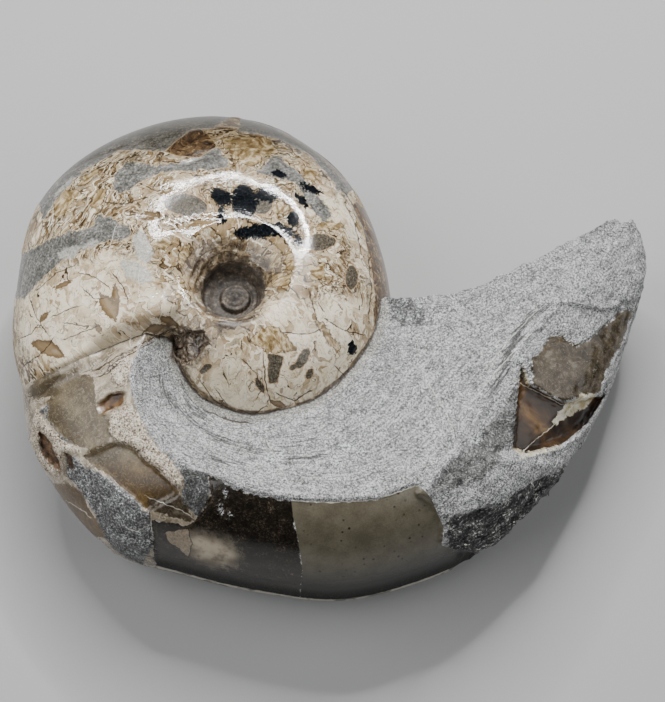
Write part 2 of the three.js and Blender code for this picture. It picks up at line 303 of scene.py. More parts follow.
# broken or raised places: outline, and how far the surface stands out (+) or back (-)
RELIEF = {
    "ledge": (-0.9, [(66, -43), (71, -32), (78, -25), (84, -17), (92, -8), (99, -1), (112, -3), (127, 2),
        (127, -50), (84, -47)]),
    "lobe": (1.6, [(53, -56), (59, -49), (62, -44), (82, -46), (98, -42), (108, -40), (108, -60), (80, -80),
        (75, -73), (67, -74), (60.5, -71.5), (61, -66), (58, -59)]),
    "corner block": (1.6, [(-35, -70), (-23.5, -71), (-22.5, -75), (-28, -85), (-35, -82)]),
    "scoop": (-1.8, [(61.5, -66), (70.5, -61.5), (79.5, -60), (93, -55.5), (85.5, -63.5), (79.5, -68),
        (73, -71.5), (66, -71.5)]),
    "amber hollow": (-4, [(85.5, -19), (87.5, -25.5), (98, -31), (112, -29), (107, -37), (97.5, -43.5),
        (85.5, -45.5), (82, -44), (83, -36)]),
    "sunk pane": (-1.5, [(-43.5, -46), (-33.5, -42), (-29, -43), (-17.5, -52), (-14.5, -56), (-24, -61.5),
        (-38, -50)]),
    "amber hole": (-2.2, [(-39.5, -31), (-37.5, -33.5), (-32, -31), (-31.5, -27.5), (-35.5, -28)]),
    "long lens": (-2.5, [(-58, -39), (-54, -42), (-51.5, -48), (-51, -51), (-54.5, -49), (-57.5, -45)]),
    "short lens": (-1.5, [(-49.5, -45), (-47, -46.5), (-46.5, -50), (-48.5, -50)]),
    "lip hollow": (-4, [(-19, -11), (-14, -9), (-8.5, -9.5), (-7.5, -13), (-10.5, -17), (-14, -19),
        (-17.5, -17)]),
}


CORNERS = 14
AROUND = [2 * math.pi * i / CORNERS for i in range(CORNERS)]


def turned(u, v, degrees, corners):
    """Corners turned anticlockwise and moved to u, v."""
    c, s = math.cos(math.radians(degrees)), math.sin(math.radians(degrees))
    return [(u + x * c - y * s, v + x * s + y * c) for x, y in corners]


def oval(u, v, long, short, turn=0.0):
    return turned(u, v, turn, [(long * math.cos(a), short * math.sin(a)) for a in AROUND])


def leaf(u, v, long, short, turn=0.0):
    """A pointed outline, fuller on one side."""
    widths = [1.4 * short * (math.sin(a) * abs(math.sin(a)) + 0.25 * math.sin(a) ** 2) for a in AROUND]
    return turned(u, v, turn, [(long * math.cos(a), width) for a, width in zip(AROUND, widths)])


# markings: the outlines of each kind of material, on the coil or on the last whorl
COIL_MARKS = {
    "grey": [
        [(-61, 16.5), (-54, 20), (-43, 22), (-41.5, 25.5), (-37.5, 24.5), (-31.5, 21.5), (-31.5, 18.5),
         (-39, 17.5), (-46.5, 14.5), (-53, 11.5), (-58, 7), (-64.5, 0.5), (-72, 2), (-72, 14)],
        [(-38, 33.5), (-37.5, 39), (-34.5, 43), (-30, 42.5), (-25.5, 41), (-13.5, 42.5), (-6.5, 45), (-6, 42),
         (-13.5, 39.5), (-22.5, 39), (-28.5, 37), (-32, 34), (-35, 32.5)],
        [(-60, 25), (-55.5, 32.5), (-48.5, 40.5), (-37.5, 47), (-30, 47), (-22.5, 46), (-15, 53.5), (-8, 54),
         (0, 62), (-30, 62), (-52, 54), (-66, 36)],
        [(0, 53), (12, 51), (22, 45.5), (29, 37.5), (31, 34), (34, 33), (40, 40), (20, 60), (0, 62)],
        [(12, 45), (20, 38), (29, 26.5), (27, 23), (22.5, 27.5), (18.5, 35.5), (6, 39)],
        [(-14, 45.5), (-6, 47), (-2, 41), (-8, 39.5), (-14, 41)],
    ],
    "pale": [
        oval(-50.5, 14, 3.4, 1.8, 12), oval(-44, 16.5, 4, 1.0, 15), oval(-27.5, 15.5, 2.6, 5, 20),
        oval(-29, 8, 5.5, 2.6, -30), oval(-54, 36, 5, 0.8, 45),
    ],
    "tan": [
        [(-5, 50.5), (8, 51), (12.5, 46.5), (4, 41), (-1, 43.5), (-4, 47.5)],
        [(5, -12.5), (7.5, -9.5), (12, -8), (14.5, -9.5), (18.5, -15), (10.5, -16)],
        [(23.5, -5), (25.5, -6.5), (32, -14.5), (30.5, -15.5), (27, -12)],
        [(-57, 30), (-54, 34), (-49, 34), (-51, 28), (-55, 25)],
        [(20, 41), (25, 40.5), (24, 36.5), (20.5, 37.5)], [(9, 13), (14, 14), (13, 9), (8, 9)],
        [(15, 14), (21, 13), (20, 8), (15.5, 8.5)], [(11, 7.5), (17, 7), (16, 3), (11.5, 4)],
        [(22, 10), (26.5, 10.5), (27, 6), (22.5, 5.5)], oval(-22, 17, 3, 2), oval(-46, 38, 4, 1.3, 40),
        oval(-42, 31, 3.5, 1.8, 60), oval(13.5, 27.5, 2.5, 2), oval(28, 22, 4, 1.2, 10),
        oval(-16, 4, 1.5, 4, 10), oval(-15, 13, 1.3, 3.4, -25), oval(38, 22, 1.1, 4, 20),
    ],
    "leaf": [
        leaf(-37, -2.7, 5.6, 1.5, -56), leaf(-34.8, 0.5, 4.6, 0.8, -82), leaf(-55.5, -15, 6.2, 1.6, -22),
        leaf(-40, -8.8, 2.4, 0.7, -53), leaf(-19, -6.5, 3.4, 1.0, -25), leaf(-23.5, -9.5, 4.8, 1.1, 25),
        leaf(-26, 25, 4.2, 0.8, 5), leaf(-52, 4, 3.6, 0.6, 20), leaf(-57, -5.5, 3, 0.6, 50),
        leaf(13, -31, 3.2, 0.6, -20),
    ],
    "brown": [
        [(-22.5, 46), (-15, 53.5), (-12.5, 54), (-9.5, 51.5), (-6.5, 47.5), (-12, 44), (-18, 44.3)],
        [(35, 30), (38.5, 22), (40.7, 12), (42, 2), (41.5, -7), (47, -8), (49, 4), (47, 18), (42, 29)],
        [(35.5, 30), (37, 31), (42, 20), (41, 20)],
        [(12, 56), (24, 50), (34, 38), (33, 38), (23, 48), (12, 54)],
    ],
    "smoky": [
        oval(-15, 28.5, 6.8, 3.4, -10), oval(8, 29, 3.2, 3.6, -25), oval(25, 17, 5.2, 2.5, 6),
        oval(34.8, 6.5, 1.9, 3.7, -4), [(10.5, -16), (15, -17), (13, -24.5), (10.5, -25)],
        oval(20.5, -17.5, 3.4, 1.4, 60), oval(22.5, -22, 1.7, 1.0, 60), oval(17.8, -20, 1.4, 0.8, 30),
        oval(-8, -20.5, 2.2, 1.0, 35), oval(8, -25.5, 2.6, 0.9, -60),
    ],
    "black": [
        oval(-4.2, 31, 3.2, 2, -30), oval(2.5, 29.5, 3.4, 5.2, 8), oval(9.5, 32, 3.4, 2, 0),
        oval(7.6, 20.4, 8.2, 1.8, 6), oval(15.3, 20, 2, 1.5), oval(17.6, 24.2, 1.4, 2.1, -8),
        oval(-4, 25.3, 0.9, 2.4, 5), oval(18.9, 17.6, 1.0, 1.3), oval(22.5, 34, 3.6, 0.8, -28),
        oval(13, 38.5, 1.8, 0.6, -20), oval(19.8, 30, 2.4, 0.7, -50), oval(34.8, -14.4, 1.0, 1.7),
    ],
    "dull": [  # where the polish is worn, below the navel
        [(-20, 5), (-19.5, -5), (-12, -10.5), (0, -12.5), (13, -9.5), (22.5, -1), (25, 8), (24, 13), (18, 12),
         (18, 6), (13.5, -1), (7, -5), (0, -6), (-8, -5), (-14, 0), (-15.5, 5)],
    ],
    "stain_and_shade": [  # brown stain of the navel, and painted shade on the shoulder above it
        [(-12, 3), (-14.5, 10), (-12, 17.5), (-4, 18.5), (6, 15.5), (12, 11), (9.5, 4), (7.5, -5), (3, -9),
         (-4, -10.5), (-9, -6)],
        [(-20, -8), (-14, -6), (-9, -5.5), (-5, -11), (-9, -17), (-16, -24), (-19, -20), (-19, -12)],
    ],
}
WHORL_MARKS = {
    "polished": [  # everything left of the dish that isn't bare limestone
        [(-17, -8), (-20, -10), (-26.5, -13), (-29.5, -18.5), (-30, -25), (-28, -32), (-24, -39),
         (-20, -43.5), (-14.5, -49), (-8, -50), (-6, -51.5), (-5.5, -57), (-8.5, -63), (-12.5, -66.5),
         (-24, -64), (-23, -70), (-24, -92), (-60, -80), (-80, -40), (-74, -6)],
    ],
    "pane": [
        [(-57, -21), (-52, -21.5), (-51, -25), (-55, -29), (-60.5, -29.5), (-61, -26)],
        [(-52, -25), (-45, -22), (-41, -23), (-40.5, -27.5), (-39.5, -33), (-35.5, -36), (-35.5, -41),
         (-40.5, -44), (-45.5, -43), (-50, -41), (-55, -36), (-55.5, -31)],
        [(-54, -55), (-49, -54.5), (-44, -57), (-43, -61), (-39.5, -66), (-38, -70), (-42, -71),
         (-46.5, -66.5), (-51, -62.5), (-55, -59)], RELIEF["sunk pane"][1],
    ],
    "crust": [
        [(-35, -33.5), (-30, -31), (-26.5, -33.5), (-24, -39.5), (-20, -44), (-15, -49), (-13.5, -54),
         (-16.5, -53.5), (-20, -50), (-25.5, -45.5), (-29, -42.5), (-33.5, -41.5), (-35.5, -38.5)],
        [(-59, -33), (-54, -38), (-50, -42), (-45.5, -43.5), (-44, -45.5), (-49, -45), (-52.5, -48),
         (-53, -53), (-58, -50), (-62, -42)],
        [(-37, -20), (-33, -16), (-29.5, -19.5), (-31, -25), (-33.5, -26)],
    ],
    "rough": [
        [(-46, -46), (-43, -49), (-37, -51.5), (-28.5, -57.5), (-24, -62), (-22.5, -72), (-28.5, -80),
         (-36, -75.5), (-38, -70), (-39.5, -65.5), (-42, -60.5), (-44.5, -56.5), (-49, -52), (-49.5, -46)],
        [(-55, -31), (-58, -33), (-50, -42), (-45, -44), (-51, -40), (-55.5, -35.5)],
        [(-14.5, -49), (-7, -49.8), (-5.3, -54), (-7, -60), (-10, -62.5), (-14, -58), (-13, -54)],
        [(46, 1), (51, 1.5), (57, -3), (56, -7.5), (50, -8), (46.5, -5)],
    ],
    "black": [
        [(-6, -51.5), (-2.5, -52), (1, -54.5), (9, -56.5), (17.5, -58), (19, -58.3), (18, -62), (19.5, -70),
         (20.5, -78), (19, -95), (-25, -95), (-23, -72), (-23, -64), (-12.5, -65.5), (-8.5, -62),
         (-5.5, -57)],
    ],
    "olive": [
        [(17.5, -57.7), (23.5, -58.2), (41.5, -57.7), (47.5, -55.6), (51.5, -53.9), (54.5, -54.2),
         (57.5, -57.5), (59.5, -62.5), (61, -66), (60.8, -69), (60.5, -71.5), (67, -74), (75, -78), (60, -95),
         (19, -95), (20.5, -78), (19.5, -70), (18, -62)],
    ],
    "cream": [oval(-6, -72.8, 8.4, 4.6, -18)],
    "line": [  # dark wavy layers in the limestone, beside the foot of the coil
        [(-22.5, -19.5), (-22, -25), (-18.5, -31), (-10, -38), (-1, -42.6), (8, -44.8), (17, -43.5),
         (24, -41), (16, -42.6), (8, -43.8), (0, -41.8), (-9, -37), (-16.5, -31), (-20, -26)],
        [(-16, -24), (-12, -31), (-6, -35.2), (-9, -35.8), (-14, -31)],
        [(16, -46), (24, -45), (31, -42), (24, -46.5), (16, -47)],
        [(-12, -42), (-3, -46.5), (6, -48), (-4, -47.5)],
        [(95, -1), (89, -6), (84, -13), (81, -20), (75, -29), (79, -20), (82, -12), (88, -4)],
    ],
    "snow": [
        oval(33, -43, 1.8, 1.2), oval(30.5, -46.5, 1, 1.4), oval(37, -44.5, 1.4, 0.6),
        oval(13, -46, 3, 0.8, 20), oval(-1.5, -56, 0.5, 1.4), oval(-2.5, -60, 0.5, 1.4),
        oval(0, -61.5, 0.4, 1), oval(56, -20, 0.8, 0.5), oval(84.5, -17.5, 1.6, 0.9, -50),
        oval(85, -21, 1.0, 0.8), oval(49, 3, 1.5, 0.8), oval(70.5, -41, 2.4, 1, 20),
    ],
    "chip": [[(-19, -67.5), (-12.5, -66.5), (-11.5, -71), (-13, -75.5), (-16, -72), (-18.5, -71)]],
    "soot": [
        [(61.7, -63.6), (70.4, -61.5), (79.4, -59.4), (83, -57), (88.4, -54), (95, -51.6), (98, -49.8),
         (103, -52), (93, -61), (85.4, -67), (78, -73), (70, -78), (63, -76)],
    ],
    "fresh": [  # fresh limestone faces, darker and rougher
        [(63, -47), (70, -43), (79, -32), (83.5, -26), (83.5, -38), (80, -44), (73, -52), (66, -55),
         (57, -55)],
    ],
    "smoky": [
        [(88.5, -25.5), (88.5, -18), (91.5, -15.5), (94.5, -11), (97.5, -10.5), (102.5, -14), (106.5, -12.5),
         (112.5, -7.5), (118, -3), (122, -3), (118, -13), (112, -21.5), (109.5, -28.5), (105, -29),
         (98, -30.5)],
        [(-23.5, -58), (-15, -56.5), (-12, -59.5), (-11, -64.5), (-18, -62.5), (-23.5, -61)],
    ],
    "amber": [RELIEF["amber hollow"][1]],
    "honey": [RELIEF["amber hole"][1], RELIEF["long lens"][1], RELIEF["short lens"][1]],
    "ivory": [
        [(94.5, -36.5), (99, -31.5), (104.5, -28.3), (109, -28.5), (106, -32.5), (100, -35), (96, -37.5)],
        [(85.3, -18.5), (86.5, -20), (87.6, -25.5), (86.4, -25.2), (85.6, -22)],
        [(82, -43.5), (84, -46.5), (98, -44.5), (97.3, -43.6), (86, -45.4)],
    ],
}
PIT = [(-19, -10.5), (-14, -8.6), (-8.5, -9), (-6.5, -12), (-9.5, -17.5), (-15, -20), (-18.5, -18)]
# zones where the shell is clean and cream
CLEAN = [
    [(-66, -16), (-66, 0), (-53, 9.5), (-38, 14), (-27, 12), (-19.5, 0), (-12, -7.5), (-25.5, -13.5),
     (-44, -21.5)],
    [(-22, -24), (-8, -44), (22, -46), (42, -28), (46, -5), (38, 1), (22, -1), (10, 1), (8, -9), (0, -16),
     (-8, -16)],
    [(18, 26), (27, 22), (33, 22), (37, 10), (42, -2), (42, 14), (34, 30), (27, 35)],
]
# fine lines: dark cracks and white veins
CRACKS = [
    [(-17, -8), (-22, -10.5), (-28, -13.5), (-34, -17), (-40, -20.5), (-44, -21.5)],
    [(-18, -9), (-23, -11.3), (-29, -14.2), (-35, -17.7), (-40, -21)],
    [(-24, -12.8), (-30, -16), (-35, -19), (-38, -22)], [(-33, -18.5), (-36, -21.5), (-40, -23)],
    [(-64, -20), (-58, -16.5), (-54, -12)], [(-66, -12), (-61, -10), (-59.5, -8)],
    [(-54, -5), (-50, -3.4), (-46, -2)], [(-50, -7), (-44, -8), (-40, -8)],
    [(-62, -29), (-57, -28), (-52, -23)], [(-60, 3), (-54, 8), (-48, 10.5)],
    [(-46, 8), (-41, 6.5), (-37, 3.5)], [(-36, 7.5), (-33, 4), (-31, -0.5)],
    [(-50, -12), (-45, -10), (-41, -8.5)], [(-56, -10), (-60, -5), (-62, 0)],
    [(-45, 3), (-41, 0), (-38, 0.5)], [(22.3, 2.2), (23.2, -1), (24, -4.2)], [(25, -1.2), (26.6, -3.7)],
    [(27, -6), (33, -9.5), (38, -10.5)], [(15, -10), (22, -10.5), (25.5, -9)], [(-2.5, -22), (-1.5, -25)],
    [(3, -18), (7, -22), (8.5, -27), (7, -29)], [(9, -16.5), (9.5, -24), (11, -30)],
    [(13, -28), (18, -30), (23, -27)], [(-8, -33), (0, -36), (5, -36.5)], [(-10, -24), (-6, -30), (0, -33)],
    [(-5, -27), (-2, -31)], [(30, -20), (33, -23), (30, -26)], [(2, -33), (6, -34), (9, -32)],
    [(-20, 22), (-12, 24), (-4, 24)], [(-24, 43), (-16, 42), (-10, 43.5)], [(-30, 36), (-24, 33), (-20, 34)],
    [(-56, 40), (-46, 45), (-36, 48)], [(-40, 30), (-34, 29), (-27, 31)], [(32, 35), (36, 29), (41, 18)],
    [(33, 30), (36, 24), (38, 14)], [(40, 14), (41, 4), (40, -6)], [(-24, -57.5), (-23.5, -64), (-24, -72)],
    [(-6, -51), (-5, -57), (-8, -62.5), (-12, -66)],
]
VEINS = [
    [(19, -57.6), (30, -58.2), (41, -57.5), (47.5, -55.5), (53, -53.8)],
    [(-28.2, 8), (-27.7, 0), (-30, -7), (-30.5, -13)], [(-25, 1), (-22, -1.5), (-21, -3.5), (-22.5, -7)],
    [(10, -41.5), (15, -50), (18, -57)], [(57.7, -25.5), (60.5, -30), (62.5, -34), (64.5, -40)],
    [(83, -24), (98, -31.5)], [(84, -46), (96, -37), (105, -29)], [(-24, -57.5), (-14, -61), (-11, -63)],
    [(-50, -60), (-45, -62), (-42, -64.5)], [(-31.5, -66), (-28, -68), (-24.5, -66)],
    [(-33, 6), (-38, 13), (-36, 22)], [(73, -22), (84, -10)], [(75, -24), (88, -10.5)],
    [(71, -29), (78, -21.5)], [(86, -8), (91, -3)],
]


FAR = 1e3


def to_stretch(points, a, b):
    """Distance of each point of the drawing plane from the straight stretch a to b."""
    edge = b - a
    t = np.clip((points - a) @ edge / (edge @ edge), 0, 1)
    return np.linalg.norm(points - a - t[:, None] * edge, axis=1)


def to_outline(points, outline):
    """Distance of each point from an outline, negative inside it."""
    corners = np.array(outline, float)
    distance = np.full(len(points), FAR)
    inside = np.zeros(len(points), bool)
    u, v = points.T
    for a, b in zip(corners, np.roll(corners, -1, axis=0)):
        distance = np.minimum(distance, to_stretch(points, a, b))
        if a[1] != b[1]:
            crossed = (a[1] > v) != (b[1] > v)
            inside ^= crossed & (u < a[0] + (b[0] - a[0]) * (v - a[1]) / (b[1] - a[1]))
    return np.where(inside, -distance, distance)


def to_nearest(points, outlines):
    return np.min([to_outline(points, outline) for outline in outlines], axis=0)


def to_lines(points, lines):
    """Distance of each point from the nearest of the lines, and the same with a sign for the side."""
    distance = np.full(len(points), FAR)
    side = distance.copy()
    for line in lines:
        for a, b in zip(np.array(line[:-1], float), np.array(line[1:], float)):
            apart = to_stretch(points, a, b)
            turn = (b - a)[0] * (points[:, 1] - a[1]) - (b - a)[1] * (points[:, 0] - a[0])
            side = np.where(apart < distance, np.copysign(apart, turn), side)
            distance = np.minimum(distance, apart)
    return distance, side


def rough_noise(points, size, detail=3):
    """Smooth noise from about -1 to 1 over points in millimetres, with lumps of the given size."""
    at = points / size
    return np.array([noise.fractal(Vector(row), 1.0, 2.0, detail) for row in at.tolist()])


def flag(obj, on_coil):
    """Marks every face of a mesh with the part of the stone that it belongs to."""
    mark = obj.data.attributes.new("on_coil", "FLOAT", "FACE")
    mark.data.foreach_set("value", np.full(len(obj.data.polygons), on_coil, np.float32))
    return link(obj)


def stone_form():
    body = flag(coil(), 1.0)
    join(body, flag(last_whorl(), 0.0), "UNION")
    far = 200.0
    corners = ((-far, -far), (far, -far), (far, far), (-far, far))
    below = np.array([[(x, y, z) for x, y in corners] for z in (-20.0, 0.0)])
    return join(body, link(grid_mesh("below", below)), "DIFFERENCE")


def read(collection, name, width, kind=np.float64):
    flat = np.empty(len(collection) * width, kind)
    collection.foreach_get(name, flat)
    return flat.reshape(-1, width) if width > 1 else flat


# ---- The stone ----

NAVEL_ABOVE = 40  # the navel's surface lies above this height
SEAM_REACH = 20.0  # the distance from the seam isn't followed further
# added to a marking's distance, on faces turned away from the plane and on the other part
TURNED_AWAY, OTHER_PART = 60, 40
DISTANCE_LIMITS = (-30, 60)
BOX_GAP = 0.01  # kept inside the CAD box
FLAT_BELOW = 0.02  # lower points are set on the floor

stone = stone_form()
stone.name = "nautilus_stone"
mesh = stone.data
for polygon in mesh.polygons:
    polygon.use_smooth = True

p = read(mesh.vertices, "co", 3)
normal = read(mesh.vertex_normals, "vector", 3)
plane = np.column_stack([p[:, 0], p[:, 1] * PLANE_UP[1] + (p[:, 2] - PLANE_ZERO) * PLANE_UP[2]])
facing = normal @ PLANE_NORMAL
shows = ease(facing, -0.02, 0.12)
away = TURNED_AWAY * ease(facing + 0.16 * rough_noise(p, 11.0), 0.04, -0.1)  # with an uneven end

# which part each vertex belongs to; those on the seam belong to both
loops = read(mesh.loops, "vertex_index", 1, np.int32)
sizes = read(mesh.polygons, "loop_total", 1, np.int32)
of_face = np.repeat(np.arange(len(sizes)), sizes)
face_flag = read(mesh.attributes["on_coil"].data, "value", 1, np.float32)
coil_share = np.bincount(loops, face_flag[of_face], len(p)) / np.bincount(loops, minlength=len(p))
on_coil, on_seam = coil_share > 0.5, (coil_share > 0) & (coil_share < 1) & (p[:, 2] > 0.5)
on_whorl = ~on_coil
tree = KDTree(int(on_seam.sum()))
for i, place in enumerate(p[on_seam]):
    tree.insert(place, i)
tree.balance()
seam = np.minimum([tree.find(row)[2] for row in p.tolist()], SEAM_REACH)

radius = np.hypot(p[:, 0], p[:, 1])
off_funnel = np.abs((np.degrees(np.arctan2(p[:, 1], p[:, 0])) - FUNNEL_AT + 180) % 360 - 180)
by_navel = on_coil * (p[:, 2] > NAVEL_ABOVE)


def marked(outlines, keep):
    """Distance to the nearest of the outlines, negative inside, on the kept part of the stone."""
    return np.clip(to_nearest(plane, outlines) + away + np.where(keep, 0, OTHER_PART), *DISTANCE_LIMITS)


coil_marks = {name: marked(outlines, on_coil) for name, outlines in COIL_MARKS.items()}
whorl_marks = {name: marked(outlines, on_whorl | on_seam) for name, outlines in WHORL_MARKS.items()}
pit_mark = marked([PIT], True)
crack, crack_side = to_lines(plane, CRACKS)
vein, vein_side = to_lines(plane, VEINS)

# relief: broken places first, then the texture of each kind of surface; the sums p + 50 and so on
# only keep the noises apart
lumps = rough_noise(p, 9.0)
grit = rough_noise(p + 50, 2.2)
fine = rough_noise(p + 90, 1.1, 2)
for depth, outline in RELIEF.values():
    edge = to_outline(plane, outline) + 0.5 * grit
    p += PLANE_NORMAL * (depth * shows * ease(edge, 0.45, -0.45))[:, None]

# beyond the end of the lip's crack the shell runs on without a groove
filled = ease(seam, 5.5, 0.3) * ease(plane[:, 0], -37, -46) * ease(plane[:, 1], -8, -11)
p += PLANE_NORMAL * (2.3 * shows * filled)[:, None]

funnel = ease(radius, 28, 18) * ease(radius, 8, 13) * ease(off_funnel, 65, 25)
p[:, 2] -= FUNNEL_DROP * by_navel * funnel

broken_wall = on_whorl * ease(normal @ (0, 1, 0), 0.35, 0.7) * ease(p[:, 0], 30, 45)
unpolished = on_whorl * 1.0
for name in ("polished", "black", "olive", "smoky", "amber"):
    unpolished *= ease(whorl_marks[name], 0, 1)
bare = unpolished * shows
lobe = on_whorl * shows * ease(to_outline(plane, RELIEF["lobe"][1]), 1, -1)
fresh = ease(np.minimum(whorl_marks["fresh"], whorl_marks["soot"]), 0.5, -0.5)
crust = ease(whorl_marks["crust"], 0.5, -0.5)
rough = ease(whorl_marks["rough"], 0.5, -0.5)
pit = ease(pit_mark, 1.5, -1)
amber = ease(whorl_marks["amber"], 0, -1)
tip = on_whorl * ease(p[:, 0], 85, 110)

proud = 0.14 * bare * grit + 0.25 * bare * lumps
proud += lobe * (0.5 * lumps + 0.25 * grit) + fresh * (0.5 * grit + 1.1 * rough_noise(p + 40, 6.0) - 0.3)
proud += crust * (0.35 + 0.55 * grit + 0.3 * fine) + rough * (0.35 * grit + 0.25 * fine + 0.2 * lumps)
proud += pit * (1.4 * rough_noise(p + 20, 4.5) + 0.5 * grit) + amber * 0.5 * rough_noise(p + 30, 5.0)
proud += broken_wall * (1.1 * lumps + 0.5 * grit) + tip * 0.3 * grit
# the navel: rings on its floor, wrinkles up its wall, deeper on its left side
floor_rings = 0.22 * np.sin(2 * math.pi * radius / 1.7) * ease(radius, 8.5, 6.5) * by_navel
wrinkles = np.sin(radius * 3.2 + 2.2 * rough_noise(p + 70, 5.0)) * ease(radius, 7, 9) * ease(radius, 17, 12)
proud += floor_rings + 0.25 * wrinkles * (0.35 + 0.65 * ease(p[:, 0], 4, -6)) * by_navel
# the polished shell is slowly uneven; its fillings and the cracks stand back a little
proud += on_coil * 0.1 * rough_noise(p + 10, 14.0, 2)
proud -= 0.22 * ease(coil_marks["grey"], 0.2, -0.6) + 0.3 * ease(coil_marks["leaf"], 0, -0.6)
proud -= 0.25 * shows * ease(crack, 0.7, 0.0) * ease(seam, 0, 3)
# the hidden flank of the shell is a little rough
proud += ease(facing, 0, -0.3) * on_coil * 0.2 * grit
p += normal * proud[:, None]
p[:, 2] = np.maximum(p[:, 2], 0.0)

p[:, :2] += AXIS
low, high = (np.array(corner) / MM for corner in CAD_BOX)
p = np.clip(p, low + BOX_GAP, high - BOX_GAP)
p[:, 2] = np.where(p[:, 2] < FLAT_BELOW, 0.0, p[:, 2])
mesh.vertices.foreach_set("co", (p * MM).ravel())
mesh.update()

# ---- Values that the material reads ----

for prefix, marks in (("c_", coil_marks), ("w_", whorl_marks)):
    for name, distance in marks.items():
        add_values(mesh, prefix + name, distance)
add_values(mesh, "crack", np.column_stack([crack + away, crack_side, shows]))
add_values(mesh, "vein", np.column_stack([vein + away, vein_side, facing]))
add_values(mesh, "pit", pit_mark)
add_values(mesh, "matte", np.maximum(unpolished, 0.7 * np.maximum(crust, rough)) * (1 - pit))
add_values(mesh, "seam", seam)
add_values(mesh, "clean", to_nearest(plane, CLEAN) + 0.5 * away)

# ---- The material ----

WHITE = (0.95, 0.92, 0.84)
SAND = (0.58, 0.45, 0.32)
UMBER = (0.1, 0.075, 0.052)
INK = (0.035, 0.026, 0.02)
BUMP_METRES = 0.0006  # height of the fine relief for a value of 1
CONTRAST = 1.28  # gamma over the finished colours
STONE_IOR = 1.55


class Signal:
    """An output of a node. Arithmetic on it adds Math nodes."""

    def __init__(self, paint, socket):
        self.paint, self.socket = paint, socket

    def __add__(self, other):
        return self.paint.math("ADD", self, other)

    def __sub__(self, other):
        return self.paint.math("SUBTRACT", self, other)

    def __mul__(self, other):
        return self.paint.math("MULTIPLY", self, other)


